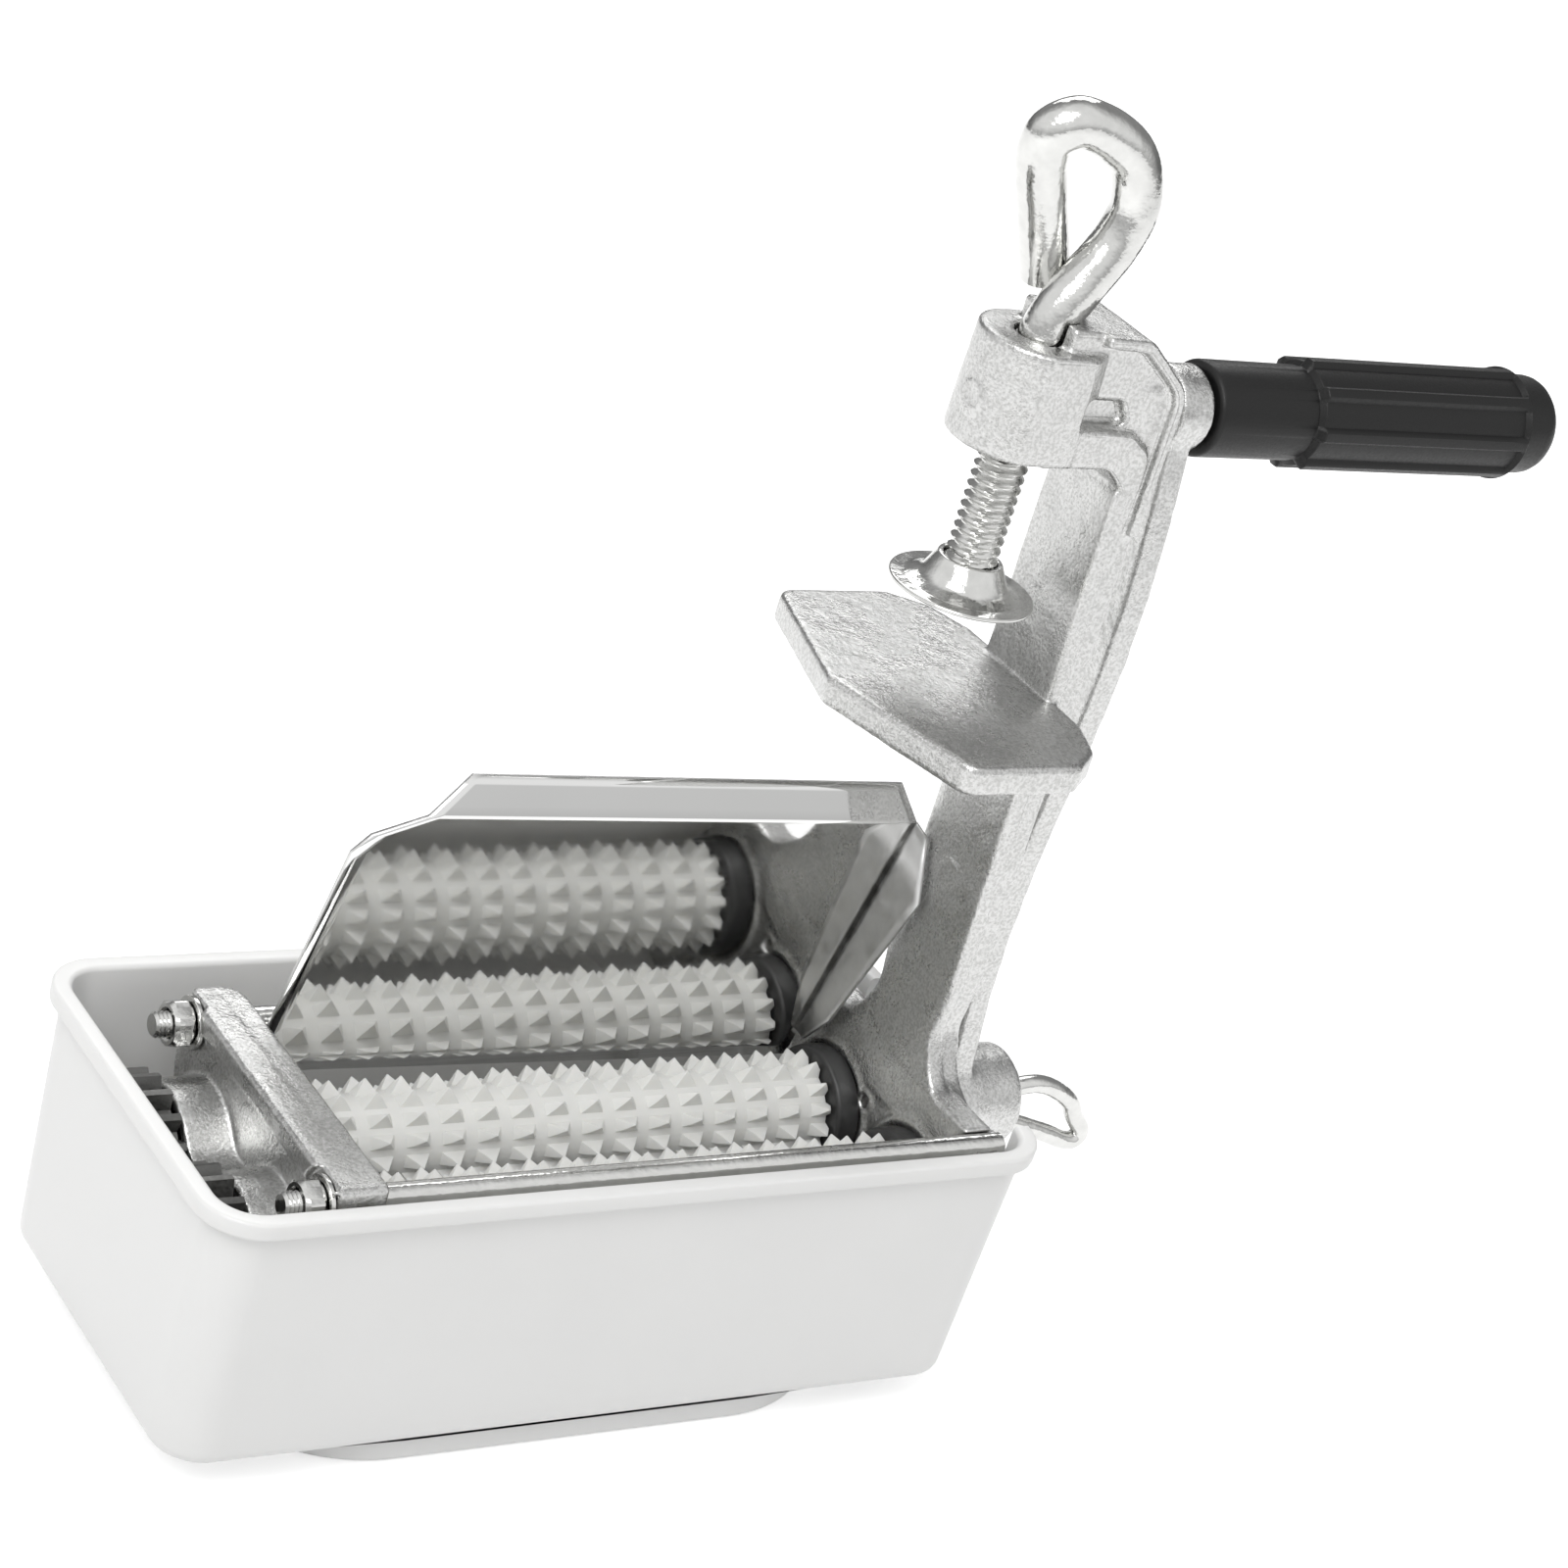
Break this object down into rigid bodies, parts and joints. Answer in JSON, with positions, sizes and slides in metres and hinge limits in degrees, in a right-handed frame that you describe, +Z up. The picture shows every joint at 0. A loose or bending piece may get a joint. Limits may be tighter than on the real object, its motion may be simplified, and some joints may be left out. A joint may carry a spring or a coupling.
{
  "type": "clamp-on roller fruit crusher",
  "caption": "Hand-cranked two-roller crusher with toothed rollers, table clamp, mirror guard and a removable catch tub.",
  "frame": {"origin": "centre of the tub's foot, on the surface it stands on", "axes": "+X along the rollers towards the crank, +Y towards the guard, +Z up"},
  "size_m": [0.3439, 0.1032, 0.3122],
  "materials": {
    "tub_plastic": "satin white moulded plastic",
    "roller_nylon": "waxy white moulded plastic",
    "bush_plastic": "satin black",
    "grip_plastic": "satin black moulded plastic",
    "casting": "bright tumbled sand casting with ground edges",
    "guard_steel": "mirror polished sheet",
    "plated_steel": "bright zinc plate",
    "gear_steel": "dull machined steel"
  },
  "bodies": {
    "tub": {"tub": "tub_plastic"},
    "crusher": {"main_frame": "casting", "left_end_plate": "casting", "drive_bush_left": "bush_plastic", "idler_bush_left": "bush_plastic", "drive_bush_right": "bush_plastic", "idler_bush_right": "bush_plastic", "tie_rod_front": "plated_steel", "tie_rod_rear": "plated_steel", "tie_nut_front": "plated_steel", "tie_nut_rear": "plated_steel", "tie_washer_front": "plated_steel", "tie_washer_rear": "plated_steel", "guard_sheet": "guard_steel", "guard_clip_left": "plated_steel", "guard_clip_right": "plated_steel"},
    "drive_train": {"drive_shaft": "plated_steel", "drive_roller": "roller_nylon", "drive_gear": "gear_steel", "drive_gear_clip": "plated_steel", "crank_arm": "casting", "handle_spindle": "plated_steel"},
    "idler": {"idler_shaft": "plated_steel", "idler_roller": "roller_nylon", "idler_gear": "gear_steel", "idler_gear_clip": "plated_steel"},
    "hand_grip": {"grip": "grip_plastic"},
    "pad": {"clamp_pad": "plated_steel"},
    "screw": {"clamp_screw": "plated_steel"},
    "thumb_collar": {"thumb_washer": "plated_steel"},
    "thumb": {"thumb_screw": "plated_steel"}
  },
  "joints": [
    {"name": "lift_out", "type": "slide", "parent": "tub", "child": "crusher", "axis": [0, 0, 1], "range_m": [0, 0.12]},
    {"name": "crank_spin", "type": "hinge", "parent": "crusher", "child": "drive_train", "pos_m": [0, 0.0119, 0.0478], "axis": [1, 0, 0], "continuous": true},
    {"name": "idler_spin", "type": "hinge", "parent": "crusher", "child": "idler", "pos_m": [0, -0.0241, 0.0478], "axis": [1, 0, 0], "continuous": true},
    {"name": "grip_spin", "type": "hinge", "parent": "drive_train", "child": "hand_grip", "pos_m": [0.19, 0.0119, 0.2368], "axis": [1, 0, 0], "continuous": true},
    {"name": "clamp_travel", "type": "slide", "parent": "crusher", "child": "pad", "axis": [0, 0, 1], "range_m": [0, 0.0225]},
    {"name": "clamp_turn", "type": "hinge", "parent": "pad", "child": "screw", "pos_m": [0.0654, -0.0041, 0.23], "axis": [0, 0, 1], "range_deg": [0, 3240]},
    {"name": "thumb_travel", "type": "slide", "parent": "drive_train", "child": "thumb_collar", "axis": [1, 0, 0], "range_m": [0, 0.012]},
    {"name": "thumb_turn", "type": "hinge", "parent": "thumb_collar", "child": "thumb", "pos_m": [0.15, 0.0119, 0.0478], "axis": [1, 0, 0], "range_deg": [0, 5400]}
  ],
  "couplings": [
    {"joint": "idler_spin", "follows": "crank_spin", "ratio": -1},
    {"joint": "clamp_travel", "follows": "clamp_turn", "m_per_rad": 0.00039789},
    {"joint": "thumb_travel", "follows": "thumb_turn", "m_per_rad": 0.00012732}
  ]
}
